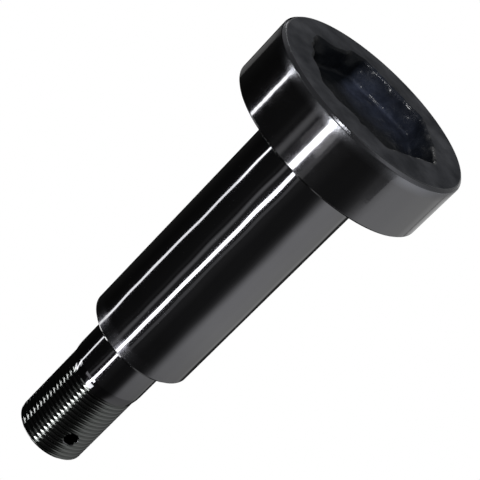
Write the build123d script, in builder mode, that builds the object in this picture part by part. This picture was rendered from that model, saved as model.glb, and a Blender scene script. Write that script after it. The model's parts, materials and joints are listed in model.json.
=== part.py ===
from build123d import *
import os

# A trailer suspension pin, turned from one forging, in millimetres.
# It stands on its head: the origin is the centre of the head's outer face,
# +Z runs along the axis to the threaded end, and the split-pin hole lies along Y.

# Head
head_diameter = 117.0
head_height = 34.0
head_rim_chamfer = 1.6
head_back_chamfer = 1.0

# Hexagonal key socket forged into the head
socket_across_flats = 72.0
socket_depth = 12.5
socket_draft = 2.0
socket_corner_radius = 4.0
socket_floor_radius = 1.8
socket_mouth_bevel = 1.0
socket_turn = 7.0
dish_diameter = 34.0
dish_depth = 1.2

# Ground journal, which carries the bush
journal_diameter = 63.0
journal_length = 151.0
journal_root_radius = 2.0
journal_end_chamfer = 2.0

# Plain shank between the journal's shoulder and the thread, rounded down to the thread at its end
shank_diameter = 43.5
shank_length = 31.5
shank_root_radius = 1.0
shank_end_length = 6.5

# Threaded end, drawn as a plain cylinder of the thread's outer diameter
thread_diameter = 42.0
thread_pitch = 3.0
thread_length = 50.5
thread_depth_in_pitches = 0.6134

# Split-pin hole across the thread, and the lathe centre in the end face
pin_hole_diameter = 8.0
pin_hole_from_end = 17.0
pin_hole_bevel = 0.7
centre_pilot_diameter = 4.0
centre_mouth_diameter = 8.5
centre_depth = 9.0
centre_angle = 60.0

# Radii, and heights above the head's outer face
head_radius = head_diameter / 2
journal_radius = journal_diameter / 2
shank_radius = shank_diameter / 2
thread_radius = thread_diameter / 2
thread_end_chamfer = thread_depth_in_pitches * thread_pitch
shoulder_height = head_height + journal_length
thread_start = shoulder_height + shank_length
tip_height = thread_start + thread_length
pin_hole_height = tip_height - pin_hole_from_end


def turned_profile():
    """Half section of the turned blank, in the XZ plane, from the axis outwards and back."""
    axis_foot = (0, 0)
    rim_face = (head_radius - head_rim_chamfer, 0)
    rim_side = (head_radius, head_rim_chamfer)
    back_side = (head_radius, head_height - head_back_chamfer)
    back_face = (head_radius - head_back_chamfer, head_height)
    root_out = (journal_radius + journal_root_radius, head_height)
    root_up = (journal_radius, head_height + journal_root_radius)
    journal_end = (journal_radius, shoulder_height - journal_end_chamfer)
    shoulder_edge = (journal_radius - journal_end_chamfer, shoulder_height)
    shank_out = (shank_radius + shank_root_radius, shoulder_height)
    shank_up = (shank_radius, shoulder_height + shank_root_radius)
    shank_end = (shank_radius, thread_start - shank_end_length)
    thread_foot = (thread_radius, thread_start)
    thread_end = (thread_radius, tip_height - thread_end_chamfer)
    tip_edge = (thread_radius - thread_end_chamfer, tip_height)
    axis_tip = (0, tip_height)

    Polyline(axis_foot, rim_face, rim_side, back_side, back_face, root_out)
    RadiusArc(root_out, root_up, journal_root_radius)
    Polyline(root_up, journal_end, shoulder_edge, shank_out)
    RadiusArc(shank_out, shank_up, shank_root_radius)
    Line(shank_up, shank_end)
    TangentArc(shank_end, thread_foot, tangent=(0, 1))
    Polyline(thread_foot, thread_end, tip_edge, axis_tip)
    Line(axis_tip, axis_foot)


with BuildPart() as suspension_pin:
    # The turned blank: head, journal, shank and threaded end
    with BuildSketch(Plane.XZ):
        with BuildLine():
            turned_profile()
        make_face()
    revolve(axis=Axis.Z)

    # The key socket: a hexagon with rounded corners and walls that lean in by the forging draft
    with BuildSketch(Plane.XY):
        RegularPolygon(socket_across_flats / 2, 6, major_radius=False, rotation=socket_turn - 90)
        fillet(vertices(), socket_corner_radius)
    extrude(amount=socket_depth, taper=socket_draft, mode=Mode.SUBTRACT)
    socket_edges = edges(Select.LAST)
    mouth_edges = socket_edges.group_by(Axis.Z)[0]
    floor_edges = socket_edges.group_by(Axis.Z)[-1]
    fillet(floor_edges, socket_floor_radius)
    chamfer(mouth_edges, socket_mouth_bevel)

    # The shallow round dish that the punch leaves in the socket's floor
    with BuildSketch(Plane.XZ):
        with BuildLine():
            dish_bottom = (0, socket_depth + dish_depth)
            dish_edge = (dish_diameter / 2, socket_depth)
            dish_middle = (0, socket_depth)
            TangentArc(dish_bottom, dish_edge, tangent=(1, 0))
            Polyline(dish_edge, dish_middle, dish_bottom)
        make_face()
    revolve(axis=Axis.Z, mode=Mode.SUBTRACT)

    # The split-pin hole right through the thread, with broken edges
    with BuildSketch(Plane.XZ):
        with Locations((0, pin_hole_height)):
            Circle(pin_hole_diameter / 2)
    extrude(amount=thread_diameter, both=True, mode=Mode.SUBTRACT)
    chamfer(edges(Select.LAST), pin_hole_bevel)

    # The lathe centre in the end face
    with Locations(Plane.XY.offset(tip_height)):
        CounterSinkHole(
            centre_pilot_diameter / 2,
            centre_mouth_diameter / 2,
            depth=centre_depth,
            counter_sink_angle=centre_angle,
        )

suspension_pin.part.label = "suspension_pin"

os.makedirs("parts", exist_ok=True)
export_step(suspension_pin.part, "parts/suspension_pin.step")
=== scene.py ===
import json
import math

import bmesh
import bpy
from bpy.props import FloatProperty, FloatVectorProperty, IntProperty, PointerProperty
from mathutils import Euler, Matrix, Vector, noise


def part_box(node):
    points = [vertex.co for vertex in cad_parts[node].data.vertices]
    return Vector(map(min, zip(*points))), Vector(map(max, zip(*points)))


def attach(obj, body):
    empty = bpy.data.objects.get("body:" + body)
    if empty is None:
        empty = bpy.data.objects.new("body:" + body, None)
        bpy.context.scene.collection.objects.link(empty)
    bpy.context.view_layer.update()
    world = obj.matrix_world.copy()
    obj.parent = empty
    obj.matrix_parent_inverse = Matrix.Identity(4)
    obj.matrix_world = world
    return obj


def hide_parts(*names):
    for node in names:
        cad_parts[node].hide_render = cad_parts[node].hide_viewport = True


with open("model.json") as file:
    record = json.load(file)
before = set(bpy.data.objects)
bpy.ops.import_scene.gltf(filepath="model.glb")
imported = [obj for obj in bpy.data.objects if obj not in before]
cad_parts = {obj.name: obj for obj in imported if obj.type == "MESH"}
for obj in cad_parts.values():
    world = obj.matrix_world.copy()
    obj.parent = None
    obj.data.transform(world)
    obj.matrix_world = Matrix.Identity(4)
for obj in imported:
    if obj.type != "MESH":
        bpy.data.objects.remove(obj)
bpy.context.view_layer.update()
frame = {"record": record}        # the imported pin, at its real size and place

bl_info = {
    "name": "Trailer suspension pin",
    "version": (1, 0, 0),
    "blender": (4, 5, 0),
    "location": "3D View > Sidebar > Pin",
    "description": "Makes a blackened steel suspension pin and the studio round it",
    "category": "Mesh",
}

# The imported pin's facts. Lengths are in metres throughout, and MM turns millimetres into them.
MM = 0.001
CAD_NODE = "suspension_pin"
CAD_BODY = "root"
NODE_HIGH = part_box(CAD_NODE)[1]
MOUNTS = {mount["name"]: mount for mount in frame["record"]["mounts"]}

PIECE_NAME = "suspension_pin_steel"
FINISHES = ("ground", "turned", "faced", "forged", "threaded")


def mount_diameter(name):
    """Diameter of a round mount, from the record."""
    return 2 * MOUNTS[name]["dims"]["r_mm"] * MM


def mount_height(name):
    """Height of a mount's place above the head's outer face, from the record."""
    return MOUNTS[name]["pos_m"][2]


def linear(hex_colour):
    """An sRGB hex colour as linear red, green and blue."""
    channels = [int(hex_colour[i:i + 2], 16) / 255 for i in (0, 2, 4)]
    return [c / 12.92 if c <= 0.04045 else ((c + 0.055) / 1.055) ** 2.4 for c in channels]


def length(name, description, default):
    """A property that holds a length in metres."""
    return FloatProperty(
        name=name, description=description, default=default, min=0.0, unit="LENGTH", precision=5
    )


def colour(name, description, hex_colour):
    """A property that holds a colour."""
    return FloatVectorProperty(
        name=name, description=description, default=linear(hex_colour), size=3,
        min=0.0, max=1.0, subtype="COLOR",
    )


def rotation(name, description, degrees):
    """A property that holds an angle, shown in degrees."""
    return FloatProperty(
        name=name, description=description, default=math.radians(degrees), unit="ROTATION"
    )


class PinSizes(bpy.types.PropertyGroup):
    """Sizes of the turned pin, its key socket and its holes."""

    head_diameter: length("Head diameter", "Across the round head", 2 * NODE_HIGH.x)
    head_height: length(
        "Head height", "From the outer face to the underside", mount_height("head_underside")
    )
    head_rim_chamfer: length("Rim chamfer", "Round the head's outer face", 1.6 * MM)
    head_back_chamfer: length("Back chamfer", "Round the head's underside", 1.0 * MM)
    journal_diameter: length(
        "Journal diameter", "The ground part that carries the bush", mount_diameter("journal")
    )
    journal_root_radius: length("Journal root", "Fillet where the journal meets the head", 2.0 * MM)
    journal_end_chamfer: length("Journal chamfer", "Round the journal's shoulder", 2.0 * MM)
    shoulder_height: length(
        "Shoulder height", "From the outer face to the shoulder", mount_height("shoulder")
    )
    shank_diameter: length("Shank diameter", "The plain part before the thread", 43.5 * MM)
    shank_length: length("Shank length", "From the shoulder to the thread", 31.5 * MM)
    shank_root_radius: length("Shank root", "Fillet where the shank meets the shoulder", 1.0 * MM)
    shank_end_length: length("Shank end", "The rounded end above the thread", 6.5 * MM)
    shank_end_radius: length("Shank end radius", "Radius of that rounded end", 25.0 * MM)
    edge_rounding: length("Edge rounding", "Rounding of the edges of each chamfer", 0.4 * MM)
    rim_rounding: length("Rim rounding", "Rounding of the worn edges of the rim", 1.0 * MM)
    tip_height: length("Length", "From the outer face to the end", NODE_HIGH.z)
    pin_hole_diameter: length(
        "Split-pin hole", "Diameter of the cross hole", mount_diameter("split_pin_hole")
    )
    pin_hole_height: length(
        "Split-pin hole height", "Of the cross hole's axis", mount_height("split_pin_hole")
    )
    pin_hole_bevel: length("Hole bevel", "Round both mouths of the cross hole", 0.7 * MM)
    centre_pilot_diameter: length("Centre pilot", "The lathe centre's small bore", 4.0 * MM)
    centre_mouth_diameter: length("Centre mouth", "The lathe centre's mouth", 8.5 * MM)
    centre_depth: length("Centre depth", "Depth of the lathe centre", 9.0 * MM)
    centre_angle: rotation("Centre angle", "Whole angle of the lathe centre's cone", 60)
    socket_across_flats: length("Socket across flats", "Of the hexagonal key socket", 72.0 * MM)
    socket_depth: length("Socket depth", "From the outer face to the floor", 12.5 * MM)
    socket_corner_radius: length("Socket corner", "Radius of the hexagon's corners", 4.0 * MM)
    socket_floor_radius: length("Socket floor radius", "Fillet between wall and floor", 1.8 * MM)
    socket_mouth_rounding: length("Socket mouth", "Rounding of the socket's mouth", 1.5 * MM)
    socket_draft: rotation("Socket draft", "Lean of the socket's forged walls", 2)
    socket_turn: rotation("Socket turn", "Turn of the hexagon about the pin's axis", 7)
    dish_diameter: length("Dish diameter", "The punch's dish in the socket's floor", 34.0 * MM)
    dish_depth: length("Dish depth", "Depth of that dish", 1.2 * MM)
    forging_grain: length("Forging grain", "Spacing of the forged socket's unevenness", 7.0 * MM)
    forging_depth: length("Forging depth", "Height of the forged socket's unevenness", 0.8 * MM)
    nick_depth: length("Nick depth", "Of the dents in the socket's mouth", 2.2 * MM)
    columns: IntProperty(
        name="Columns", description="Faces round the pin", default=384, min=24
    )


class ThreadSizes(bpy.types.PropertyGroup):
    """Sizes of the cut thread."""

    diameter: length("Thread diameter", "Over the crests", mount_diameter("thread"))
    pitch: length("Pitch", "From one crest to the next", 3.0 * MM)
    depth: length("Depth", "From crest to root", 1.15 * MM)
    crest_width: length("Crest width", "Of the crest, with its rounded edges", 1.4 * MM)
    crest_drop: length("Crest drop", "How far the crest's edges fall away", 0.06 * MM)
    end_chamfer: length("End chamfer", "Of the thread's outer end, 0.6134 of the pitch", 1.84 * MM)
    run_out: FloatProperty(
        name="Run-out", description="Turns over which the groove fades into the shank",
        default=0.7, min=0.05,
    )
    steps: IntProperty(name="Steps", description="Faces along one turn", default=96, min=12)


class PinColours(bpy.types.PropertyGroup):
    """Colours of the blackened steel."""

    ground: colour("Ground steel", "Black oxide on the ground journal", "39393c")
    ground_thin: colour("Ground steel, thin oxide", "Where the oxide is thinnest", "424246")
    turned: colour("Turned steel", "Black oxide on the turned head", "39393c")
    worn: colour("Worn steel", "Where the head's rim has rubbed bright", "65666a")
    faced: colour("Faced steel", "Dull oxide on the head's outer face", "35383f")
    faced_pale: colour("Faced steel, pale", "Cloudy patches on the outer face", "54575f")
    # The socket's scale is painted between these two: the dark tone where painted shade falls, and
    # the pale tone where painted light falls, broken by random pale patches
    forged: colour("Forging scale", "Blue-black scale in the socket", "090c0f")
    forged_patches_and_light: colour("Forging scale, pale", "Grey bloom on that scale", "454954")
    threaded: colour("Cut thread", "Oily black of the thread", "353836")


class StudioSettings(bpy.types.PropertyGroup):
    """Size and light of the studio."""

    floor: colour("Floor", "Plain pale floor", "eeeeee")
    floor_radius: length("Floor radius", "Of the round floor", 12.0)
    drape_radius: length("Drape radius", "Of the drape that the steel mirrors", 1.3)
    drape_height: length("Drape height", "Of the drape's top over the floor", 3.0)
    plain_light: FloatProperty(
        name="Plain light", description="Level of the even light from all round", default=0.45
    )
    softbox_level: FloatProperty(
        name="Softbox level", description="Radiance of the softbox overhead", default=3.0
    )


SCENE_SETTINGS = {
    "pin_sizes": PinSizes,
    "pin_thread": ThreadSizes,
    "pin_colours": PinColours,
    "pin_studio": StudioSettings,
}


def add(tree, kind, inputs=(), **settings):
    """Adds a node to a tree with its settings, and sets or links its inputs.

    A node that is given as an input stands for its first output.
    """
    made = tree.nodes.new(kind)
    for name, value in settings.items():
        setattr(made, name, value)
    for name, value in dict(inputs).items():
        if isinstance(value, bpy.types.Node):
            value = value.outputs[0]
        if isinstance(value, bpy.types.NodeSocket):
            tree.links.new(value, made.inputs[name])
        else:
            made.inputs[name].default_value = value
    return made


# The form of the pin

# Edges that turn by more than this angle are shaded sharp
SHARP_FROM = math.radians(32)


def place_round(radius, angle, height):
    """A place at a distance from the pin's axis, an angle about it and a height."""
    return radius * math.cos(angle), radius * math.sin(angle), height


def finished_mesh(name, form):
    """A mesh made from a bmesh, which is then freed."""
    mesh = bpy.data.meshes.new(name)
    form.to_mesh(mesh)
    form.free()
    return mesh


def turned_corners(size, thread):
    """Corners of the turned half section, from the head's rim to the end's lathe centre.

    Each is its radius, height and rounding, with the finish of the stretch that leaves it.
    """
    head = size.head_diameter / 2
    journal = size.journal_diameter / 2
    shank = size.shank_diameter / 2
    crest = thread.diameter / 2
    mouth = size.centre_mouth_diameter / 2
    pilot = size.centre_pilot_diameter / 2
    head_top = size.head_height
    shoulder = size.shoulder_height
    thread_start = shoulder + size.shank_length
    tip = size.tip_height
    cone_foot = tip - (mouth - pilot) / math.tan(size.centre_angle / 2)
    edge = size.edge_rounding
    return [
        (head - size.head_rim_chamfer, 0.0, size.rim_rounding, "turned"),
        (head, size.head_rim_chamfer, size.rim_rounding, "turned"),
        (head, head_top - size.head_back_chamfer, edge, "turned"),
        (head - size.head_back_chamfer, head_top, edge, "turned"),
        (journal, head_top, size.journal_root_radius, "ground"),
        (journal, shoulder - size.journal_end_chamfer, edge, "ground"),
        (journal - size.journal_end_chamfer, shoulder, edge, "turned"),
        (shank, shoulder, size.shank_root_radius, "ground"),
        (shank, thread_start - size.shank_end_length / 2, size.shank_end_radius, "ground"),
        (crest, thread_start, edge, "threaded"),
        (crest, tip - thread.end_chamfer, edge / 2, "threaded"),
        (crest - thread.end_chamfer, tip, edge / 2, "turned"),
        (mouth, tip, edge / 2, "turned"),
        (pilot, cone_foot, 0.0, "turned"),
        (pilot, tip - size.centre_depth, 0.0, "turned"),
    ]


def rounded_outline(start, corners, end, arc_step, support):
    """Points of an outline whose corners are rounded, as radius, height and finish.

    A support point stands close to each end of an arc, so that the straights stay flat when
    the surface is shaded smooth.
    """
    marks = [start, *corners, end]
    points = []
    for before, here, after in zip(marks, marks[1:], marks[2:]):
        corner = Vector(here[:2])
        rounding, finish = here[2:]
        into = (corner - Vector(before[:2])).normalized()
        out = (Vector(after[:2]) - corner).normalized()
        turn = math.atan2(into.x * out.y - into.y * out.x, into.dot(out))
        if rounding == 0.0:
            points.append((corner.x, corner.y, finish))
            continue
        reach = rounding * math.tan(abs(turn) / 2)
        arc_start = corner - into * reach
        arc_end = corner + out * reach
        centre = arc_start + Vector((-into.y, into.x)) * math.copysign(rounding, turn)
        arm = arc_start - centre
        steps = max(2, math.ceil(abs(turn) / arc_step))
        before_arc = arc_start - into * support
        points.append((before_arc.x, before_arc.y, before[3]))
        for step in range(steps + 1):
            angle = turn * step / steps
            x = centre.x + arm.x * math.cos(angle) - arm.y * math.sin(angle)
            y = centre.y + arm.x * math.sin(angle) + arm.y * math.cos(angle)
            points.append((x, y, finish))
        after_arc = arc_end + out * support
        points.append((after_arc.x, after_arc.y, finish))
    return points


def hexagon_reach(angle, across_flats, corner_radius):
    """Distance from the axis to a hexagon with rounded corners, at an angle from a flat."""
    half_turn = math.radians(30)
    from_flat = abs((angle + half_turn) % (2 * half_turn) - half_turn)
    half = across_flats / 2
    inner = half - corner_radius
    if math.tan(from_flat) <= inner * math.tan(half_turn) / half:
        return half / math.cos(from_flat)
    from_corner = half_turn - from_flat
    centre = inner / math.cos(half_turn)
    aside = centre * math.sin(from_corner)
    return centre * math.cos(from_corner) + math.sqrt(max(corner_radius ** 2 - aside ** 2, 0.0))


def forged_unevenness(point, size):
    """How far the forged surface stands off its true form at a point."""
    fine_grain, fine_share = size.forging_grain / 4, 0.2
    fine_start = Vector((7.0, 3.0, 5.0))
    coarse = noise.noise(point / size.forging_grain)
    fine = noise.noise(point / fine_grain + fine_start)
    return size.forging_depth * (coarse + fine_share * fine)


# Dents in the socket's mouth: angle and half width in degrees, and depth as a share of the nicks'
MOUTH_DENTS = (
    (-168.0, 14.0, 0.8),
    (-61.0, 2.5, 1.0),
    (-39.0, 7.0, 0.9),
    (8.0, 12.0, 1.6),
    (25.0, 6.0, 0.9),
    (47.0, 8.0, 1.9),
    (84.0, 6.0, 1.1),
)


def mouth_dent(angle, height, size):
    """How far the dents in the socket's mouth stand back, which fade down its wall."""
    back = 0.0
    for middle, half_width, share in MOUTH_DENTS:
        away = math.remainder(angle - math.radians(middle), math.tau) / math.radians(half_width)
        back += share * math.exp(-away ** 2)
    return size.nick_depth * back * max(0.0, 1 - height / (size.socket_depth / 2))


def socket_rings(size, angles):
    """Rings of places on the key socket, from its floor's middle out to its mouth."""
    depth, floor_radius = size.socket_depth, size.socket_floor_radius
    mouth = size.socket_mouth_rounding
    lean = math.tan(size.socket_draft)
    dish = size.dish_diameter / 2
    dish_curve = (dish ** 2 + size.dish_depth ** 2) / (2 * size.dish_depth)

    def true_reach(angle, inset):
        """Distance from the axis to the hexagon, drawn in by an inset."""
        flats = size.socket_across_flats - 2 * inset
        corner = max(size.socket_corner_radius - inset, 0)
        return hexagon_reach(angle - size.socket_turn, flats, corner)

    def wall_ring(inset, height):
        """A ring of the wall, uneven and dented."""
        ring = []
        for angle in angles:
            reach = true_reach(angle, inset)
            place = Vector(place_round(reach, angle, height))
            reach += forged_unevenness(place, size) + mouth_dent(angle, height, size)
            ring.append(place_round(reach, angle, height))
        return ring

    def floor_ring(share, inset):
        """A ring of the floor: share -1 is its middle, 0 the dish's edge and 1 the wall's foot.

        The unevenness fades out over the last quarter before the wall.
        """
        ring = []
        for angle in angles:
            outer = true_reach(angle, inset)
            reach = dish + (outer - dish) * share if share > 0 else dish * (1 + share)
            hollow = 0.0
            if share < 0:
                hollow = size.dish_depth - dish_curve + math.sqrt(dish_curve ** 2 - reach ** 2)
            place = Vector(place_round(reach, angle, depth + hollow))
            place.z += forged_unevenness(place, size) * min(1.0, 4 * (1 - share))
            ring.append(tuple(place))
        return ring

    quarter = math.radians(90)
    wall_foot = depth - floor_radius
    fillet_inset = wall_foot * lean + floor_radius
    dish_steps, floor_steps, fillet_steps, wall_steps, mouth_steps = 9, 12, 5, 12, 5
    shares = [step / dish_steps - 1 for step in range(1, dish_steps)]
    shares += [step / floor_steps for step in range(floor_steps)]
    rings = [floor_ring(share, fillet_inset) for share in shares]
    for step in range(fillet_steps + 1):
        turn = quarter * step / fillet_steps
        inset = fillet_inset - floor_radius * math.sin(turn)
        rings.append(wall_ring(inset, depth - floor_radius * (1 - math.cos(turn))))
    for step in range(1, wall_steps):
        height = wall_foot + (mouth - wall_foot) * step / wall_steps
        rings.append(wall_ring(height * lean, height))
    for step in range(mouth_steps + 1):
        turn = quarter * step / mouth_steps
        rings.append(wall_ring(-mouth * (1 - math.cos(turn)), mouth * (1 - math.sin(turn))))
    return rings


def turned_blank(size, thread):
    """The pin before its thread and cross hole are cut, as a mesh."""
    angles = [math.tau * column / size.columns for column in range(size.columns)]
    arc_step = math.radians(12)
    support = 0.12 * MM
    socket = socket_rings(size, angles)
    rings = [(ring, "forged") for ring in socket[:-1]]
    rings.append((socket[-1], "faced"))

    drill_foot = size.tip_height - size.centre_depth
    start, end = (0.0, 0.0, 0.0, "faced"), (0.0, drill_foot, 0.0, "turned")
    outline = rounded_outline(start, turned_corners(size, thread), end, arc_step, support)

    # Rings on the outer face, at shares of the way from the socket's mouth to the rim
    rim = outline[0][0]
    for share in (0.03, 0.3, 0.65):
        ring = []
        for (x, y, _), angle in zip(socket[-1], angles):
            reach = math.hypot(x, y)
            ring.append(place_round(reach + (rim - reach) * share, angle, 0.0))
        rings.append((ring, "faced"))
    for radius, height, finish in outline:
        rings.append(([place_round(radius, angle, height) for angle in angles], finish))

    form = bmesh.new()
    floor_middle = form.verts.new((0.0, 0.0, size.socket_depth + size.dish_depth))
    drill_middle = form.verts.new((0.0, 0.0, drill_foot))
    loops = [[form.verts.new(place) for place in ring] for ring, _ in rings]
    for column in range(size.columns):
        beside = (column + 1) % size.columns
        floor = form.faces.new((floor_middle, loops[0][column], loops[0][beside]))
        floor.material_index = FINISHES.index("forged")
        foot = form.faces.new((drill_middle, loops[-1][beside], loops[-1][column]))
        foot.material_index = FINISHES.index("turned")
        for inner, outer, (_, finish) in zip(loops, loops[1:], rings):
            face = form.faces.new((inner[column], outer[column], outer[beside], inner[beside]))
            face.material_index = FINISHES.index(finish)
    bmesh.ops.recalc_face_normals(form, faces=form.faces)
    return finished_mesh("pin_blank", form)


def distance_from_axis(tree, split):
    """Adds the nodes that measure a place's distance from the pin's axis, from its X and Y."""
    flat_place = add(tree, "ShaderNodeCombineXYZ", {"X": split["X"], "Y": split["Y"]})
    measured = add(tree, "ShaderNodeVectorMath", {0: flat_place}, operation="LENGTH")
    return measured.outputs["Value"]


def thread_inputs(size, thread, finish):
    """The thread cutting tree's inputs: the kind of each one's socket, and its value."""
    return {
        "Radius": ("Float", thread.diameter / 2),
        "Pitch": ("Float", thread.pitch),
        "Depth": ("Float", thread.depth),
        "Crest Width": ("Float", thread.crest_width),
        "Crest Drop": ("Float", thread.crest_drop),
        "Start": ("Float", size.shoulder_height + size.shank_length),
        "End": ("Float", size.tip_height + thread.pitch),
        "Run-out": ("Float", thread.run_out),
        "Steps": ("Int", thread.steps),
        "Finish": ("Material", finish),
    }


def thread_cutting_tree(inputs):
    """Geometry nodes that sweep a groove's section along a helix and cut it from the blank.

    The helix is right-handed. At its start the groove rises out of the steel over the run-out.
    """
    tree = bpy.data.node_groups.new("thread_cutting", "GeometryNodeTree")
    face = tree.interface
    face.new_socket("Blank", in_out="INPUT", socket_type="NodeSocketGeometry")
    for name, (kind, _) in inputs.items():
        face.new_socket(name, in_out="INPUT", socket_type=f"NodeSocket{kind}")
    face.new_socket("Pin", in_out="OUTPUT", socket_type="NodeSocketGeometry")
    given = add(tree, "NodeGroupInput").outputs
    here = add(tree, "GeometryNodeInputPosition").outputs[0]
    split = add(tree, "ShaderNodeSeparateXYZ", {0: here}).outputs

    # The groove starts some depths out of the steel, its wings end at a share of the pitch from
    # its middle, and the threaded finish starts just inside its root
    depths_out, wing_share, root_share = 1.4, 0.485, 0.99
    flank_slope, wing_slope = math.tan(math.radians(30)), math.tan(math.radians(25))

    # What the tree works out: each row names a value, its operation and what goes into that
    worked = {socket.name: socket for socket in given}
    worked["share"] = add(tree, "GeometryNodeSplineParameter").outputs["Factor"]
    worked["here z"] = split["Z"]
    worked["from axis"] = distance_from_axis(tree, split)
    for name, operation, *terms in (
        # Along the helix
        ("rise", "SUBTRACT", "End", "Start"),
        ("turns", "DIVIDE", "rise", "Pitch"),
        ("all steps", "MULTIPLY", "turns", "Steps"),
        ("count", "ROUND", "all steps"),
        ("turned", "MULTIPLY", "share", "turns"),
        ("angle", "MULTIPLY", "turned", math.tau),
        ("into run-out", "DIVIDE", "turned", "Run-out"),
        ("before cut", "SUBTRACT", 1.0, "into run-out"),
        ("fade", "MAXIMUM", "before cut", 0.0),
        ("squared fade", "POWER", "fade", 2.0),
        ("way out", "MULTIPLY", "Depth", depths_out),
        ("lift", "MULTIPLY", "squared fade", "way out"),
        ("reach", "ADD", "Radius", "lift"),
        ("cosine", "COSINE", "angle"),
        ("sine", "SINE", "angle"),
        ("helix x", "MULTIPLY", "reach", "cosine"),
        ("helix y", "MULTIPLY", "reach", "sine"),
        ("climb", "MULTIPLY", "share", "rise"),
        ("helix z", "ADD", "Start", "climb"),
        # Across the groove: its root and opening, and wings that round the crests' edges
        ("flank", "MULTIPLY", "Depth", flank_slope),
        ("groove", "SUBTRACT", "Pitch", "Crest Width"),
        ("opening", "MULTIPLY", "groove", 0.5),
        ("root", "SUBTRACT", "opening", "flank"),
        ("wing tip", "MULTIPLY", "Pitch", wing_share),
        ("wing", "SUBTRACT", "wing tip", "opening"),
        ("wing rise", "MULTIPLY", "wing", wing_slope),
        ("drop", "MULTIPLY", "Crest Drop", -1.0),
        ("wing height", "ADD", "drop", "wing rise"),
        ("deep", "MULTIPLY", "Depth", -1.0),
        # The crests and the grooves, without the end face and its centre
        ("past start", "GREATER_THAN", "here z", "Start"),
        ("root radius", "SUBTRACT", "Radius", "Depth"),
        ("inside root", "MULTIPLY", "root radius", root_share),
        ("outside root", "GREATER_THAN", "from axis", "inside root"),
        ("on thread", "MULTIPLY", "past start", "outside root"),
    ):
        values = enumerate(worked.get(term, term) for term in terms)
        worked[name] = add(tree, "ShaderNodeMath", values, operation=operation)

    line = add(tree, "GeometryNodeCurvePrimitiveLine", {"End": (0.0, 0.0, 1.0)})
    path = add(tree, "GeometryNodeResampleCurve", {"Curve": line, "Count": worked["count"]})
    helix_place = add(
        tree, "ShaderNodeCombineXYZ",
        {"X": worked["helix x"], "Y": worked["helix y"], "Z": worked["helix z"]},
    )
    helix = add(tree, "GeometryNodeSetPosition", {"Geometry": path, "Position": helix_place})
    upright = add(tree, "GeometryNodeSetCurveNormal", {"Curve": helix}, mode="Z_UP")

    # The groove's section: X points out of the steel and Y along the pin, on its two sides
    clear, rounding = 1.0 * MM, 0.3 * MM
    half = (
        (clear, "wing tip", 0.0),
        ("wing height", "wing tip", 0.0),
        ("drop", "opening", rounding),
        ("deep", "root", rounding),
    )
    corners = [(*corner, 1.0) for corner in half] + [(*corner, -1.0) for corner in half[::-1]]
    section_line = add(tree, "GeometryNodeResampleCurve", {"Curve": line, "Count": len(corners)})
    index = add(tree, "GeometryNodeInputIndex").outputs[0]
    picked_place = add(tree, "GeometryNodeIndexSwitch", data_type="VECTOR")
    picked_rounding = add(tree, "GeometryNodeIndexSwitch", data_type="FLOAT")
    for switch in (picked_place, picked_rounding):
        while len(switch.index_switch_items) < len(corners):
            switch.index_switch_items.new()
        tree.links.new(index, switch.inputs["Index"])
    for number, (out, away, corner_rounding, side) in enumerate(corners, 1):
        along = add(tree, "ShaderNodeMath", {0: worked[away], 1: side}, operation="MULTIPLY")
        corner = add(tree, "ShaderNodeCombineXYZ", {"X": worked.get(out, out), "Y": along})
        tree.links.new(corner.outputs[0], picked_place.inputs[number])
        picked_rounding.inputs[number].default_value = corner_rounding
    section = add(
        tree, "GeometryNodeSetPosition", {"Geometry": section_line, "Position": picked_place}
    )
    closed = add(tree, "GeometryNodeSetSplineCyclic", {"Geometry": section, "Cyclic": True})
    rounded = add(
        tree, "GeometryNodeFilletCurve",
        {"Curve": closed, "Count": 2, "Radius": picked_rounding, "Limit Radius": True},
        mode="POLY",
    )
    groove = add(
        tree, "GeometryNodeCurveToMesh",
        {"Curve": upright, "Profile Curve": rounded, "Fill Caps": True},
    )
    cut = add(
        tree, "GeometryNodeMeshBoolean", {0: given["Blank"], 1: groove},
        operation="DIFFERENCE", solver="MANIFOLD",
    )
    realized = add(tree, "GeometryNodeRealizeInstances", {0: cut})
    finished = add(
        tree, "GeometryNodeSetMaterial",
        {"Geometry": realized, "Selection": worked["on thread"], "Material": given["Finish"]},
    )
    add(tree, "NodeGroupOutput", {"Pin": finished})
    return tree


def cross_drill(size, thread):
    """The solid that the split-pin hole takes away: a drill along Y with a cone at both mouths."""
    bore = size.pin_hole_diameter / 2
    mouth = thread.diameter / 2
    bevel = size.pin_hole_bevel
    past_steel = 3.0 * MM
    sides = 96
    stations = (
        (-mouth - past_steel, bore + bevel + past_steel),
        (-mouth + bevel, bore),
        (mouth - bevel, bore),
        (mouth + past_steel, bore + bevel + past_steel),
    )
    form = bmesh.new()
    loops = []
    for along, radius in stations:
        loop = []
        for step in range(sides):
            x, up, _ = place_round(radius, math.tau * step / sides, 0.0)
            loop.append(form.verts.new((x, along, size.pin_hole_height + up)))
        loops.append(loop)
    form.faces.new(loops[0])
    form.faces.new(loops[-1])
    for near, far in zip(loops, loops[1:]):
        for step in range(sides):
            beside = (step + 1) % sides
            form.faces.new((near[step], near[beside], far[beside], far[step]))
    bmesh.ops.recalc_face_normals(form, faces=form.faces)
    return finished_mesh("cross_drill", form)


def set_input(modifier, name, value):
    """Sets a geometry nodes modifier's input by its socket's identifier."""
    for item in modifier.node_group.interface.items_tree:
        if item.item_type == "SOCKET" and item.in_out == "INPUT" and item.name == name:
            modifier[item.identifier] = value
            return
    raise RuntimeError(f"the tree has no input named {name}")


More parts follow.
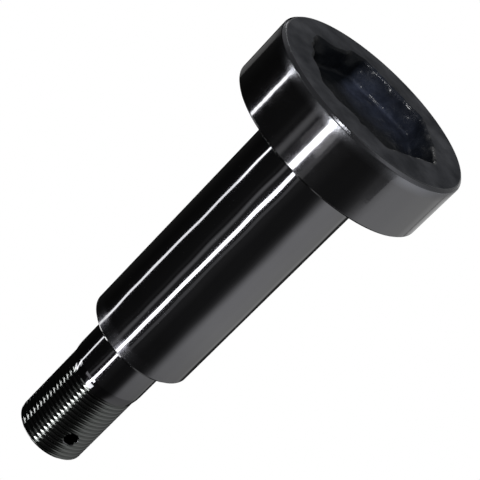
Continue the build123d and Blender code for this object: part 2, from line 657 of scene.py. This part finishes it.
def cut_pin(piece, size, thread, finish):
    """Cuts the thread and the cross hole, and leaves the piece a plain closed mesh."""
    cutting = piece.modifiers.new("thread_cutting", "NODES")
    inputs = thread_inputs(size, thread, finish)
    cutting.node_group = thread_cutting_tree(inputs)
    for name, (_, value) in inputs.items():
        set_input(cutting, name, value)

    drill = bpy.data.objects.new("cross_drill", cross_drill(size, thread))
    bpy.context.scene.collection.objects.link(drill)
    drilling = piece.modifiers.new("cross_drilling", "BOOLEAN")
    drilling.operation = "DIFFERENCE"
    drilling.solver = "MANIFOLD"
    drilling.object = drill

    graph = bpy.context.evaluated_depsgraph_get()
    cut = bpy.data.meshes.new_from_object(piece.evaluated_get(graph))
    piece.modifiers.clear()
    blank, drill_mesh = piece.data, drill.data
    piece.data = cut
    cut.name = PIECE_NAME
    bpy.data.objects.remove(drill)
    for mesh in (blank, drill_mesh):
        bpy.data.meshes.remove(mesh)

    form = bmesh.new()
    form.from_mesh(cut)
    open_edges = sum(not edge.is_manifold for edge in form.edges)
    form.free()
    if open_edges:
        raise RuntimeError(f"the pin's mesh has {open_edges} open edges")
    cut.polygons.foreach_set("use_smooth", [True] * len(cut.polygons))
    cut.set_sharp_from_angle(angle=SHARP_FROM)


# The finishes

# Black oxide under a coat of oil
OILED_METAL = {"Metallic": 1.0, "Coat Weight": 1.0, "Coat IOR": 1.47}

# Spacing of the tool's marks, drawn coarser than a lathe's real 0.2 to 0.3 mm, so that they show
TOOL_MARKS = 0.8 * MM

# Roughness where the steel has rubbed
WORN_ROUGHNESS = 0.2


def empty_material(name):
    """A new material with an empty node tree."""
    material = bpy.data.materials.new(name)
    material.use_nodes = True
    material.node_tree.nodes.clear()
    return material, material.node_tree


def patterned_steel(name, patterns):
    """A new material with its place, its height up the pin, and the noises that pattern it.

    Each noise has its name, what it runs along, its spacing, its detail and its roughness. It
    runs along the place, or along the feed of the tool, which cuts up the pin and outwards.
    """
    material, tree = empty_material(name)
    place = add(tree, "ShaderNodeTexCoord").outputs["Object"]
    split = add(tree, "ShaderNodeSeparateXYZ", {0: place}).outputs
    noises = {}
    for pattern, run, spacing, detail, roughness in patterns:
        dimensions, along = "3D", {"Vector": place}
        if run == "feed":
            from_axis = distance_from_axis(tree, split)
            feed = add(tree, "ShaderNodeMath", {0: split["Z"], 1: from_axis}, operation="ADD")
            dimensions, along = "1D", {"W": feed}
        noises[pattern] = add(
            tree, "ShaderNodeTexNoise",
            {**along, "Scale": 1 / spacing, "Detail": detail, "Roughness": roughness},
            noise_dimensions=dimensions,
        )
    return material, place, split["Z"], noises


def finish_steel(material, tint, roughness, bumps, looks, worn=None, coated=None):
    """Gives a steel its colour, roughness, relief and shader.

    The tint is a share and the two colours it lies between. The roughness is a pattern, the
    range of it that counts and what that becomes, and it is one value where the steel is worn.
    Each bump has its height, strength and depth, and lies over the one before. The coat of oil
    follows the bump whose number, from 0, is given, or else the bare form.
    """
    tree = material.node_tree
    share, first, second = tint
    colour_here = add(
        tree, "ShaderNodeMix", {0: share, 6: (*first, 1.0), 7: (*second, 1.0)}, data_type="RGBA"
    )
    pattern, least, most, low, high = roughness
    rough = add(
        tree, "ShaderNodeMapRange",
        {"Value": pattern, "From Min": least, "From Max": most, "To Min": low, "To Max": high},
    )
    if worn is not None:
        rough = add(tree, "ShaderNodeMix", {0: worn, 2: rough, 3: WORN_ROUGHNESS})
    relief = []
    for height, strength, distance in bumps:
        under = {"Normal": relief[-1]} if relief else {}
        facts = {"Height": height, "Strength": strength, "Distance": distance, **under}
        relief.append(add(tree, "ShaderNodeBump", facts))
    coat = {} if coated is None else {"Coat Normal": relief[coated]}
    shader = add(
        tree, "ShaderNodeBsdfPrincipled",
        {
            "Base Color": colour_here.outputs[2], "Roughness": rough, "Normal": relief[-1],
            **coat, **looks,
        },
    )
    add(tree, "ShaderNodeOutputMaterial", {"Surface": shader})
    return material


def ground_steel(colours, size):
    """The journal and the shank: hardened, ground between centres, hot blacked and oiled.

    It gives a black mirror whose streaks waver a little. They blur at the journal's end, where
    a washer has rubbed it.
    """
    material, place, height, noises = patterned_steel(
        "ground_black_oxide_steel",
        (("clouds", "place", 30 * MM, 4.0, 0.6), ("scuffs", "place", 4 * MM, 2.0, 0.6)),
    )
    tree = material.node_tree
    drawn_out = add(tree, "ShaderNodeMapping", {"Vector": place, "Scale": (1.0, 1.0, 0.55)})
    waves = add(
        tree, "ShaderNodeTexNoise", {"Vector": drawn_out, "Scale": 1 / (12 * MM), "Detail": 0.0}
    )
    rubbed_from = size.shoulder_height - 11 * MM
    past_rubbed = add(
        tree, "ShaderNodeMapRange",
        {"Value": height, "From Min": rubbed_from, "From Max": rubbed_from + 3 * MM},
    )
    on_journal = add(
        tree, "ShaderNodeMath", {0: height, 1: size.shoulder_height}, operation="LESS_THAN"
    )
    rubbed = add(tree, "ShaderNodeMath", {0: past_rubbed, 1: on_journal}, operation="MULTIPLY")
    return finish_steel(
        material,
        tint=(noises["clouds"], colours.ground, colours.ground_thin),
        roughness=(noises["clouds"], 0.3, 0.7, 0.06, 0.1),
        bumps=((waves, 1.0, 0.24 * MM), (noises["scuffs"], rubbed, 0.03 * MM)),
        looks={**OILED_METAL, "Coat Roughness": 0.03},
        worn=rubbed,
        coated=1,
    )


def turned_steel(colours):
    """The head, the shoulder and the end: turned on a lathe, hot blacked and oiled.

    Its feed marks run round the pin, so that its streaks are broader than on the ground part.
    The head's rim is knocked about, which breaks its streaks into bright patches.
    """
    material, _, height, noises = patterned_steel(
        "turned_black_oxide_steel",
        (
            ("marks", "feed", TOOL_MARKS, 2.0, 0.7),
            ("grain", "place", 5 * MM, 3.0, 0.6),
            ("knocks", "place", 3.5 * MM, 2.0, 0.5),
        ),
    )
    tree = material.node_tree
    worn = add(
        tree, "ShaderNodeMapRange", {"Value": height, "From Min": 7 * MM, "From Max": 3 * MM}
    )
    oiled = add(tree, "ShaderNodeMath", {0: 1.0, 1: worn}, operation="SUBTRACT")
    return finish_steel(
        material,
        tint=(worn, colours.turned, colours.worn),
        roughness=(noises["grain"], 0.3, 0.7, 0.09, 0.14),
        bumps=(
            (noises["grain"], 1.0, 0.018 * MM),
            (noises["knocks"], worn, 0.08 * MM),
            (noises["marks"], 0.8, 0.006 * MM),
        ),
        looks={**OILED_METAL, "Coat Weight": oiled, "Coat Roughness": 0.03},
        worn=worn,
        coated=1,
    )


def faced_steel(colours):
    """The head's outer face: faced on the lathe, blacked and left dry.

    It gives an even dull grey-black with cloudy patches and faint rings.
    """
    material, _, _, noises = patterned_steel(
        "faced_dry_black_steel",
        (("rings", "feed", TOOL_MARKS, 2.0, 0.7), ("clouds", "place", 20 * MM, 5.0, 0.55)),
    )
    cloudy = add(
        material.node_tree, "ShaderNodeMapRange",
        {"Value": noises["clouds"], "From Min": 0.35, "From Max": 0.65},
    )
    return finish_steel(
        material,
        tint=(cloudy, colours.faced, colours.faced_pale),
        roughness=(noises["clouds"], 0.35, 0.65, 0.6, 0.41),
        bumps=((noises["rings"], 0.5, 0.02 * MM),),
        looks={"Metallic": 1.0},
    )


def forged_steel(colours, size):
    """The key socket: hot forged, with its scale left on, which is a dull oxide and no bare metal.

    It gives a blue-black with random pale patches and painted light, palest on the far part of the
    floor and walls, and painted shade on the left wall, towards the near side, towards the right
    and near the mouth. It has glossy spots of oil on its walls.
    """
    material, place, height, noises = patterned_steel(
        "forged_black_scale",
        (
            ("patches", "place", 9 * MM, 5.0, 0.55),
            ("pits", "place", 1.6 * MM, 4.0, 0.6),
            ("oil spots", "place", 5 * MM, 1.0, 0.5),
        ),
    )
    tree = material.node_tree

    # Painted light and shade: the pale tone fades out across the socket towards its near side,
    # along it towards the right, to nothing on the left wall and up towards its mouth, and random
    # patches break it up
    lit_side = math.radians(127)
    to_lit_side = (math.cos(lit_side), math.sin(lit_side), 0.0)
    square_to_it = (math.sin(lit_side), -math.cos(lit_side), 0.0)
    across, along = [
        add(
            tree, "ShaderNodeVectorMath", {0: place, 1: way}, operation="DOT_PRODUCT"
        ).outputs["Value"]
        for way in (to_lit_side, square_to_it)
    ]
    # Painted shade: beyond this the left wall takes none of the pale tone, and no oil
    off_left_wall = add(
        tree, "ShaderNodeMapRange", {"Value": along, "From Min": 22 * MM, "From Max": 15 * MM}
    )
    patches_and_painted_light = off_left_wall
    # Each fade takes the pale tone from its least share at the first measure up to full at the
    # second; the patches are random tone, the other fades paint light and shade
    for measure, bare, lit_at, least in (
        (noises["patches"], 0.35, 0.65, 0.4),
        (across, 8 * MM, 24 * MM, 0.0),
        (along, -30 * MM, 14 * MM, 0.3),
        (height, 3 * MM, 11 * MM, 0.4),
    ):
        fade = add(
            tree, "ShaderNodeMapRange",
            {"Value": measure, "From Min": bare, "From Max": lit_at, "To Min": least},
        )
        patches_and_painted_light = add(tree, "ShaderNodeMath", {0: patches_and_painted_light, 1: fade}, operation="MULTIPLY")

    # The oil lies on the walls, and not on the floor or the left wall
    on_wall = add(
        tree, "ShaderNodeMapRange",
        {
            "Value": height, "From Min": size.socket_depth, "From Max": size.socket_depth - MM,
            "To Max": 0.8,
        },
    )
    most_oil = add(tree, "ShaderNodeMath", {0: on_wall, 1: off_left_wall}, operation="MULTIPLY")
    oil = add(
        tree, "ShaderNodeMapRange",
        {"Value": noises["oil spots"], "From Min": 0.47, "From Max": 0.56, "To Max": most_oil},
    )
    return finish_steel(
        material,
        # The tint paints light and shade on the scale, broken by random patches
        tint=(patches_and_painted_light, colours.forged, colours.forged_patches_and_light),
        roughness=(noises["pits"], 0.3, 0.7, 0.42, 0.6),
        bumps=((noises["pits"], 0.8, 0.05 * MM),),
        looks={"Specular IOR Level": 0.2, "Coat Weight": oil, "Coat Roughness": 0.12},
    )


def threaded_steel(colours):
    """The thread: cut, blacked and oiled, and of one colour.

    Its crests glint and its grooves stay black.
    """
    material, _, _, noises = patterned_steel(
        "cut_black_oxide_thread", (("grain", "place", 3 * MM, 3.0, 0.6),)
    )
    return finish_steel(
        material,
        tint=(0.0, colours.threaded, colours.threaded),
        roughness=(noises["grain"], 0.3, 0.7, 0.07, 0.12),
        bumps=((noises["grain"], 0.8, 0.012 * MM),),
        looks={**OILED_METAL, "Coat Roughness": 0.05},
    )


# The studio

# The camera, measured from the photograph's outlines. It looks up at the head's outer face.
CAMERA_PLACE = (0.40699, -0.62758, -0.23602)
CAMERA_TURN = (-122.5085, 39.7700, -169.1794)
CAMERA_LENS_MM = 120.37
CAMERA_SENSOR_MM = 36.0
CAMERA_AZIMUTH = math.degrees(math.atan2(CAMERA_PLACE[1], CAMERA_PLACE[0]))

# What the steel mirrors: the drape's level at each angle from the camera's side, in degrees
DRAPE_LEVELS = (
    (-180, 0.02), (-152, 0.02), (-146, 0.08), (-142, 0.36), (-136, 0.42), (-128, 0.45),
    (-116, 0.66), (-104, 0.9), (-92, 1.08), (-82, 1.22), (-72, 1.28), (-66, 1.05),
    (-60, 0.6), (-54, 0.22), (-48, 0.11), (-40, 0.07), (-20, 0.07), (-8, 0.12),
    (7, 0.1), (18, 0.1), (27, 0.1), (30, 0.75), (33, 0.75), (36, 0.04),
    (41, 0.1), (46, 0.05), (110, 0.015), (180, 0.012),
)

# The drape is at its full level up to the first height, and at a share of it from the second
DRAPE_FADE = (0.8, 1.1, 0.4)

# Strip lamps: name, angles from the camera's side at the low and high end, heights, width, level
STRIP_LAMPS = (
    ("key_strip", 6.9, 24.2, -0.35, 2.00, 0.140, 21.0),
    ("key_hood", 14.0, 20.0, 1.45, 2.60, 0.550, 10.0),
    ("edge_strip_foot", 72.3, 80.9, -0.60, 0.58, 0.085, 13.0),
    ("edge_strip", 81.4, 90.5, 0.58, 1.60, 0.105, 8.0),
    ("edge_hood", 95.0, 108.0, 1.40, 2.00, 0.450, 5.0),
    ("rear_strip", 167.0, 167.0, 1.15, 2.60, 0.300, 0.8),
    ("rear_low_strip", 152.0, 150.0, -0.95, -0.05, 0.060, 3.0),
)

# Cards in front of the drape: name, first and last angle from the camera's side, heights, level
CARDS = (
    ("face_card", 120.0, 240.0, -0.95, -0.05, 0.28),
    ("right_card", -176.0, -146.0, 0.02, 0.50, 0.40),
    ("left_card", 140.0, 160.0, 0.30, 0.52, 0.12),
    ("front_card", -2.0, 3.5, 0.02, 0.93, 0.45),
    ("head_edge_card", -64.0, -53.0, 0.30, 0.475, 0.25),
    ("head_card", 1.5, 10.0, 0.30, 0.475, 1.70),
    ("head_side_card", 15.0, 25.0, 0.30, 0.475, 0.60),
    ("thread_window", 7.5, 20.5, 1.00, 1.25, 16.00),
    ("thread_card", 24.5, 46.0, 1.00, 1.25, 1.20),
    ("thread_edge_window", 76.0, 91.0, 1.00, 1.25, 3.60),
)

# How far in front of the drape the cards and the strips stand
CARD_INSET = 0.02
STRIP_INSET = 0.05

# Lamps under the floor, for the socket: name, angle, elevation, side, level, colour, mirrored
LOW_LAMPS = (
    ("low_window", 16.0, -35.0, 0.70, 5.0, "d2dbf2", False),
    ("glint_lamp", 12.0, -64.0, 0.10, 30.0, "ffffff", True),
)


def round_the_set(angle, radius, height):
    """A place at an angle from the camera's side."""
    return Vector(place_round(radius, math.radians(CAMERA_AZIMUTH + angle), height))


def on_stage(name, form, material):
    """Makes an object of the studio from a bmesh."""
    made = bpy.data.objects.new(name, finished_mesh(name, form))
    made.data.materials.append(material)
    bpy.context.scene.collection.objects.link(made)
    return made


def arc_band(radius, first_angle, last_angle, low, high):
    """An upright curved band between two angles from the camera's side, as a bmesh."""
    form = bmesh.new()
    count = 24
    pairs = []
    for step in range(count + 1):
        angle = first_angle + (last_angle - first_angle) * step / count
        pairs.append([form.verts.new(round_the_set(angle, radius, z)) for z in (low, high)])
    for (low_here, high_here), (low_next, high_next) in zip(pairs, pairs[1:]):
        form.faces.new((low_here, high_here, high_next, low_next))
    return form


def ring_band(radii_and_heights, count=96):
    """A band of faces through rings about the Z axis, as a bmesh."""
    form = bmesh.new()
    loops = []
    for radius, height in radii_and_heights:
        angles = [math.tau * step / count for step in range(count)]
        loops.append([form.verts.new(place_round(radius, angle, height)) for angle in angles])
    for inner, outer in zip(loops, loops[1:]):
        for step in range(count):
            beside = (step + 1) % count
            form.faces.new((inner[step], outer[step], outer[beside], inner[beside]))
    return form


def make_floor(settings, size):
    """A pale floor with a hole under the head, clear when seen from below."""
    material, tree = empty_material("pale_floor")
    pale = add(tree, "ShaderNodeBsdfDiffuse", {"Color": (*settings.floor, 1.0)})
    clear = add(tree, "ShaderNodeBsdfTransparent")
    below = add(tree, "ShaderNodeNewGeometry").outputs["Backfacing"]
    sides = add(tree, "ShaderNodeMixShader", {0: below, 1: pale, 2: clear})
    add(tree, "ShaderNodeOutputMaterial", {"Surface": sides})
    hole = size.head_diameter / 2 - size.head_rim_chamfer - size.edge_rounding
    drop = 0.02 * MM
    form = ring_band([(hole, -drop), (settings.floor_radius, -drop)], count=256)
    floor = on_stage("floor", form, material)
    floor.visible_glossy = False


def azimuth_glow(tree, dimming, least):
    """The drape's level at each angle about the pin's axis, dimmed, and nowhere under the least."""
    place = add(tree, "ShaderNodeTexCoord").outputs["Object"]
    split = add(tree, "ShaderNodeSeparateXYZ", {0: place}).outputs
    turn = add(tree, "ShaderNodeMath", {0: split["Y"], 1: split["X"]}, operation="ARCTAN2")
    whole = add(tree, "ShaderNodeMath", {0: turn, 1: math.tau}, operation="DIVIDE")
    start = (180 - CAMERA_AZIMUTH) / 360
    from_camera = add(tree, "ShaderNodeMath", {0: whole, 1: start}, operation="ADD")
    share = add(tree, "ShaderNodeMath", {0: from_camera}, operation="FRACT")
    ramp = add(tree, "ShaderNodeValToRGB", {0: share})
    peak = max(level for _, level in DRAPE_LEVELS)
    stops = ramp.color_ramp.elements
    while len(stops) < len(DRAPE_LEVELS):
        stops.new(1.0)
    for stop, (angle, level) in zip(stops, DRAPE_LEVELS):
        share_of_peak = max(level, least / dimming) / peak
        stop.position = (angle + 180) / 360
        stop.color = (share_of_peak, share_of_peak, share_of_peak, 1.0)
    full_to, high_from, high_share = DRAPE_FADE
    strength = add(
        tree, "ShaderNodeMapRange",
        {
            "Value": split["Z"], "From Min": full_to, "From Max": high_from,
            "To Min": dimming * peak, "To Max": high_share * dimming * peak,
        },
    )
    return add(tree, "ShaderNodeEmission", {"Color": ramp, "Strength": strength})


def glowing_cloth(name, level):
    """A material that gives one level of light all over."""
    material, tree = empty_material(name)
    glow = add(tree, "ShaderNodeEmission", {"Color": (1.0, 1.0, 1.0, 1.0), "Strength": level})
    add(tree, "ShaderNodeOutputMaterial", {"Surface": glow})
    return material


def mirrored_only(name, form, material):
    """Makes an object of the studio from a bmesh, which only the steel's mirror sees."""
    material.cycles.emission_sampling = "NONE"
    made = on_stage(name, form, material)
    for ray in ("camera", "diffuse", "shadow", "transmission"):
        setattr(made, f"visible_{ray}", False)
    return made


def make_drapes(settings, size):
    """The drapes over and under the set, a flag, a shade, and the cards in front of the drapes.

    The flag is a ring just under the floor, which keeps the lamp that makes the socket's glints
    off the thread. The shade keeps the world's even light out of the socket.
    """
    radius = settings.drape_radius
    top = settings.drape_height
    hem = size.head_diameter / 2 + 3 * MM
    under = [(radius, 0.0), (radius, -radius), (MM, -radius)]
    flag_inner, flag_outer, flag_height = hem + 10 * MM, hem + 150 * MM, -2 * MM
    for name, rings, dimming, least in (
        ("drape", [(hem, MM), (radius, MM), (radius, top), (MM, top)], 1.0, 0.0),
        ("under_drape", under, 0.5, 0.15),
        ("flag", [(flag_inner, flag_height), (flag_outer, flag_height)], 0.5, 0.1),
    ):
        material, tree = empty_material(name)
        glow = azimuth_glow(tree, dimming, least)
        add(tree, "ShaderNodeOutputMaterial", {"Surface": glow})
        made = mirrored_only(name, ring_band(rings), material)
        made.visible_shadow = name == "flag"
    shade = mirrored_only("shade", ring_band(under), glowing_cloth("shade_cloth", 0.0))
    shade.visible_diffuse = True
    shade.visible_glossy = False
    for name, first_angle, last_angle, low, high, level in CARDS:
        card = arc_band(radius - CARD_INSET, first_angle, last_angle, low, high)
        mirrored_only(name, card, glowing_cloth(name, level))


def area_lamp(name, place, across, along, width, height, level, tint=(1.0, 1.0, 1.0)):
    """A rectangular lamp of a given radiance, whose back is square to its two sides."""
    lamp = bpy.data.lights.new(name, "AREA")
    lamp.shape = "RECTANGLE"
    lamp.size = width
    lamp.size_y = height
    lamp.color = tint
    lamp.energy = level * math.pi * width * height
    made = bpy.data.objects.new(name, lamp)
    made.matrix_world = Matrix((across, along, across.cross(along))).transposed().to_4x4()
    made.location = place
    made.visible_camera = False
    bpy.context.scene.collection.objects.link(made)
    return made


def make_strip(settings, name, low_angle, high_angle, low, high, width, level):
    """A strip lamp beside the set, which only the steel's mirror sees."""
    radius = settings.drape_radius - STRIP_INSET
    foot = round_the_set(low_angle, radius, low)
    head = round_the_set(high_angle, radius, high)
    middle = (foot + head) / 2
    along = (head - foot).normalized()
    across = along.cross(middle.xy.to_3d()).normalized()
    lamp = area_lamp(name, middle, across, along, width, (head - foot).length, level)
    lamp.visible_diffuse = False


def make_low_lamp(name, angle, elevation, side, level, hex_colour, mirrored):
    """A square lamp under the floor that faces the head, mirrored by the steel or not."""
    lift = math.radians(elevation)
    outward = round_the_set(angle, math.cos(lift), math.sin(lift))
    across = Vector((0.0, 0.0, 1.0)).cross(outward).normalized()
    along = outward.cross(across)
    lamp = area_lamp(name, outward, across, along, side, side, level, linear(hex_colour))
    lamp.visible_glossy = mirrored


def make_softbox(settings):
    """A square softbox overhead, which gives the object its shadow on the floor."""
    side, height = 1.4, 1.9
    lamp = area_lamp(
        "softbox", (0.0, 0.0, height), Vector((1.0, 0.0, 0.0)), Vector((0.0, 1.0, 0.0)),
        side, side, settings.softbox_level,
    )
    lamp.visible_glossy = False


def make_world(settings):
    """Even light all round, which the camera, mirrors and glass see as plain white."""
    world = bpy.data.worlds.new("studio_air")
    world.use_nodes = True
    tree = world.node_tree
    tree.nodes.clear()
    ray = add(tree, "ShaderNodeLightPath").outputs
    seen = ray["Is Camera Ray"]
    for kind in ("Is Glossy Ray", "Is Transmission Ray"):
        seen = add(tree, "ShaderNodeMath", {0: seen, 1: ray[kind]}, operation="MAXIMUM")
    even = settings.plain_light
    level = add(
        tree, "ShaderNodeMix",
        {0: seen, 6: (even, even, even, 1.0), 7: (1.0, 1.0, 1.0, 1.0)}, data_type="RGBA",
    )
    air = add(tree, "ShaderNodeBackground", {"Color": level.outputs[2], "Strength": 1.0})
    add(tree, "ShaderNodeOutputWorld", {"Surface": air})
    bpy.context.scene.world = world


def make_camera():
    """The camera at the photograph's viewing angle."""
    lens = bpy.data.cameras.new("camera")
    lens.lens = CAMERA_LENS_MM
    lens.sensor_width = CAMERA_SENSOR_MM
    made = bpy.data.objects.new("camera", lens)
    made.location = CAMERA_PLACE
    made.rotation_euler = Euler([math.radians(turn) for turn in CAMERA_TURN])
    bpy.context.scene.collection.objects.link(made)
    bpy.context.scene.camera = made


class PIN_OT_make_pin(bpy.types.Operator):
    """Turn, punch, thread, drill and finish the suspension pin"""

    bl_idname = "pin.make_pin"
    bl_label = "Make Pin"

    def execute(self, context):
        size = context.scene.pin_sizes
        thread = context.scene.pin_thread
        colours = context.scene.pin_colours
        finishes = {
            "ground": ground_steel(colours, size),
            "turned": turned_steel(colours),
            "faced": faced_steel(colours),
            "forged": forged_steel(colours, size),
            "threaded": threaded_steel(colours),
        }
        mesh = turned_blank(size, thread)
        for name in FINISHES:
            mesh.materials.append(finishes[name])
        piece = bpy.data.objects.new(PIECE_NAME, mesh)
        context.scene.collection.objects.link(piece)
        cut_pin(piece, size, thread, finishes["threaded"])
        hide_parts(CAD_NODE)
        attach(piece, CAD_BODY)
        return {"FINISHED"}


class PIN_OT_make_studio(bpy.types.Operator):
    """Make the floor, the drape, the lamps and the camera"""

    bl_idname = "pin.make_studio"
    bl_label = "Make Studio"

    def execute(self, context):
        settings = context.scene.pin_studio
        size = context.scene.pin_sizes
        make_floor(settings, size)
        make_drapes(settings, size)
        for facts in STRIP_LAMPS:
            make_strip(settings, *facts)
        for facts in LOW_LAMPS:
            make_low_lamp(*facts)
        make_softbox(settings)
        make_world(settings)
        make_camera()
        context.scene.view_settings.view_transform = "Standard"
        return {"FINISHED"}


class PIN_PT_panel(bpy.types.Panel):
    """The pin's panel in the 3D view's sidebar"""

    bl_label = "Suspension Pin"
    bl_idname = "PIN_PT_panel"
    bl_space_type = "VIEW_3D"
    bl_region_type = "UI"
    bl_category = "Pin"

    def draw(self, context):
        layout = self.layout
        layout.operator(PIN_OT_make_pin.bl_idname)
        layout.operator(PIN_OT_make_studio.bl_idname)
        for settings_name, kind in SCENE_SETTINGS.items():
            box = layout.box()
            for name in kind.__annotations__:
                box.prop(getattr(context.scene, settings_name), name)


CLASSES = (*SCENE_SETTINGS.values(), PIN_OT_make_pin, PIN_OT_make_studio, PIN_PT_panel)


def register():
    """Registers the classes and gives each scene its settings."""
    for made in CLASSES:
        bpy.utils.register_class(made)
    for name, kind in SCENE_SETTINGS.items():
        setattr(bpy.types.Scene, name, PointerProperty(type=kind))


def unregister():
    """Takes the settings and the classes away again."""
    for name in SCENE_SETTINGS:
        delattr(bpy.types.Scene, name)
    for made in reversed(CLASSES):
        bpy.utils.unregister_class(made)


def main():
    """Makes the pin and its studio."""
    register()
    bpy.ops.pin.make_pin()
    bpy.ops.pin.make_studio()


if __name__ == "__main__":
    main()
